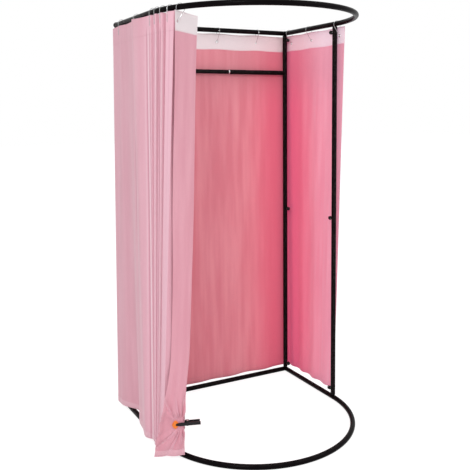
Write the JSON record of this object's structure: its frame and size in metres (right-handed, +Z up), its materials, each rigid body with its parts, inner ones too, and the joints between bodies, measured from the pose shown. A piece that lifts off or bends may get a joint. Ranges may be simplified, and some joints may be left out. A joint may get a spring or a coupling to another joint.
{
  "type": "portable fitting room",
  "caption": "Freestanding fitting room of black steel tube, D-shaped in plan, with a hanging rail at the back and a pink curtain on wire rings held open by a spring clamp.",
  "frame": {"origin": "on the floor, in the middle of the underside of the rear base bar", "axes": "+X to the right as seen from the entry, +Y to the back, +Z up"},
  "size_m": [1.1335, 1.016, 2.0042],
  "materials": {
    "frame_steel": "gloss black paint",
    "bright_wire": "bright plated wire",
    "black_plastic": "satin black",
    "orange_pad": "soft matte orange",
    "curtain_cloth": "thin woven pink cloth"
  },
  "bodies": {
    "frame": {"base_rear_bar": "frame_steel", "top_rear_bar": "frame_steel", "base_side_bar_left": "frame_steel", "top_side_bar_left": "frame_steel", "base_side_bar_right": "frame_steel", "top_side_bar_right": "frame_steel", "base_front_ring": "frame_steel", "top_front_ring": "frame_steel", "lower_post_rear_left": "frame_steel", "upper_post_rear_left": "frame_steel", "lower_post_rear_right": "frame_steel", "upper_post_rear_right": "frame_steel", "lower_post_front_left": "frame_steel", "upper_post_front_left": "frame_steel", "lower_post_front_right": "frame_steel", "upper_post_front_right": "frame_steel", "hanging_rail_thin": "frame_steel", "hanging_rail_thick": "frame_steel", "hanging_rail_collar": "bright_wire", "curtain_right": "curtain_cloth", "curtain_rear": "curtain_cloth", "curtain_left": "curtain_cloth", "ring_right_1": "bright_wire", "ring_right_2": "bright_wire", "ring_right_3": "bright_wire", "ring_rear_1": "bright_wire", "ring_rear_2": "bright_wire", "ring_rear_3": "bright_wire", "ring_rear_4": "bright_wire", "ring_left_1": "bright_wire", "ring_left_2": "bright_wire"},
    "gather_1": {"curtain_fold_1": "curtain_cloth", "ring_front_1": "bright_wire"},
    "gather_2": {"curtain_fold_2": "curtain_cloth", "ring_front_2": "bright_wire"},
    "gather_3": {"curtain_fold_3": "curtain_cloth", "ring_front_3": "bright_wire"},
    "gather_4": {"curtain_fold_4": "curtain_cloth", "ring_front_4": "bright_wire"},
    "curtain_leader": {"curtain_leading_fold": "curtain_cloth", "ring_front_5": "bright_wire", "clamp_arm_outer": "black_plastic", "clamp_pad_outer": "orange_pad", "clamp_pin": "bright_wire", "clamp_spring": "bright_wire"},
    "clamp_jaw": {"clamp_arm_inner": "black_plastic", "clamp_pad_inner": "orange_pad"},
    "base_screw_rear_left": {"base_screw_rear_left": "black_plastic"},
    "middle_screw_rear_left": {"middle_screw_rear_left": "black_plastic"},
    "top_screw_rear_left": {"top_screw_rear_left": "black_plastic"},
    "base_screw_rear_right": {"base_screw_rear_right": "black_plastic"},
    "middle_screw_rear_right": {"middle_screw_rear_right": "black_plastic"},
    "top_screw_rear_right": {"top_screw_rear_right": "black_plastic"},
    "base_screw_front_left": {"base_screw_front_left": "black_plastic"},
    "middle_screw_front_left": {"middle_screw_front_left": "black_plastic"},
    "top_screw_front_left": {"top_screw_front_left": "black_plastic"},
    "base_screw_front_right": {"base_screw_front_right": "black_plastic"},
    "middle_screw_front_right": {"middle_screw_front_right": "black_plastic"},
    "top_screw_front_right": {"top_screw_front_right": "black_plastic"}
  },
  "joints": [
    {"name": "curtain_draw", "type": "hinge", "parent": "frame", "child": "curtain_leader", "pos_m": [0, -0.475, 0], "axis": [0, 0, 1], "range_deg": [0, 143]},
    {"name": "gather_1_slide_round", "type": "hinge", "parent": "frame", "child": "gather_1", "pos_m": [0, -0.475, 0], "axis": [0, 0, 1], "range_deg": [0, 8.7]},
    {"name": "gather_2_slide_round", "type": "hinge", "parent": "frame", "child": "gather_2", "pos_m": [0, -0.475, 0], "axis": [0, 0, 1], "range_deg": [0, 49.9]},
    {"name": "gather_3_slide_round", "type": "hinge", "parent": "frame", "child": "gather_3", "pos_m": [0, -0.475, 0], "axis": [0, 0, 1], "range_deg": [0, 101.3]},
    {"name": "gather_4_slide_round", "type": "hinge", "parent": "frame", "child": "gather_4", "pos_m": [0, -0.475, 0], "axis": [0, 0, 1], "range_deg": [0, 139.5]},
    {"name": "clamp_pivot", "type": "hinge", "parent": "curtain_leader", "child": "clamp_jaw", "pos_m": [-0.4542, -0.68988, 0.17], "axis": [0, 0, 1], "range_deg": [0, 15], "stiffness_Nm_per_rad": 0.5, "springref_deg": -28.65},
    {"name": "base_screw_rear_left_turn", "type": "hinge", "parent": "frame", "child": "base_screw_rear_left", "pos_m": [-0.5, -0.0325, 0.0523], "axis": [0, -1, 0], "continuous": true},
    {"name": "middle_screw_rear_left_turn", "type": "hinge", "parent": "frame", "child": "middle_screw_rear_left", "pos_m": [-0.5, -0.0325, 0.9825], "axis": [0, -1, 0], "continuous": true},
    {"name": "top_screw_rear_left_turn", "type": "hinge", "parent": "frame", "child": "top_screw_rear_left", "pos_m": [-0.5, -0.0325, 1.9477], "axis": [0, -1, 0], "continuous": true},
    {"name": "base_screw_rear_right_turn", "type": "hinge", "parent": "frame", "child": "base_screw_rear_right", "pos_m": [0.5, -0.0325, 0.0523], "axis": [0, -1, 0], "continuous": true},
    {"name": "middle_screw_rear_right_turn", "type": "hinge", "parent": "frame", "child": "middle_screw_rear_right", "pos_m": [0.5, -0.0325, 0.9825], "axis": [0, -1, 0], "continuous": true},
    {"name": "top_screw_rear_right_turn", "type": "hinge", "parent": "frame", "child": "top_screw_rear_right", "pos_m": [0.5, -0.0325, 1.9477], "axis": [0, -1, 0], "continuous": true},
    {"name": "base_screw_front_left_turn", "type": "hinge", "parent": "frame", "child": "base_screw_front_left", "pos_m": [-0.5, -0.4425, 0.0523], "axis": [0, 1, 0], "continuous": true},
    {"name": "middle_screw_front_left_turn", "type": "hinge", "parent": "frame", "child": "middle_screw_front_left", "pos_m": [-0.5, -0.4425, 0.9825], "axis": [0, 1, 0], "continuous": true},
    {"name": "top_screw_front_left_turn", "type": "hinge", "parent": "frame", "child": "top_screw_front_left", "pos_m": [-0.5, -0.4425, 1.9477], "axis": [0, 1, 0], "continuous": true},
    {"name": "base_screw_front_right_turn", "type": "hinge", "parent": "frame", "child": "base_screw_front_right", "pos_m": [0.5, -0.4425, 0.0523], "axis": [0, 1, 0], "continuous": true},
    {"name": "middle_screw_front_right_turn", "type": "hinge", "parent": "frame", "child": "middle_screw_front_right", "pos_m": [0.5, -0.4425, 0.9825], "axis": [0, 1, 0], "continuous": true},
    {"name": "top_screw_front_right_turn", "type": "hinge", "parent": "frame", "child": "top_screw_front_right", "pos_m": [0.5, -0.4425, 1.9477], "axis": [0, 1, 0], "continuous": true}
  ],
  "couplings": [
    {"joint": "gather_1_slide_round", "follows": "curtain_draw", "ratio": 0.0604},
    {"joint": "gather_2_slide_round", "follows": "curtain_draw", "ratio": 0.3486},
    {"joint": "gather_3_slide_round", "follows": "curtain_draw", "ratio": 0.7083},
    {"joint": "gather_4_slide_round", "follows": "curtain_draw", "ratio": 0.9755}
  ]
}
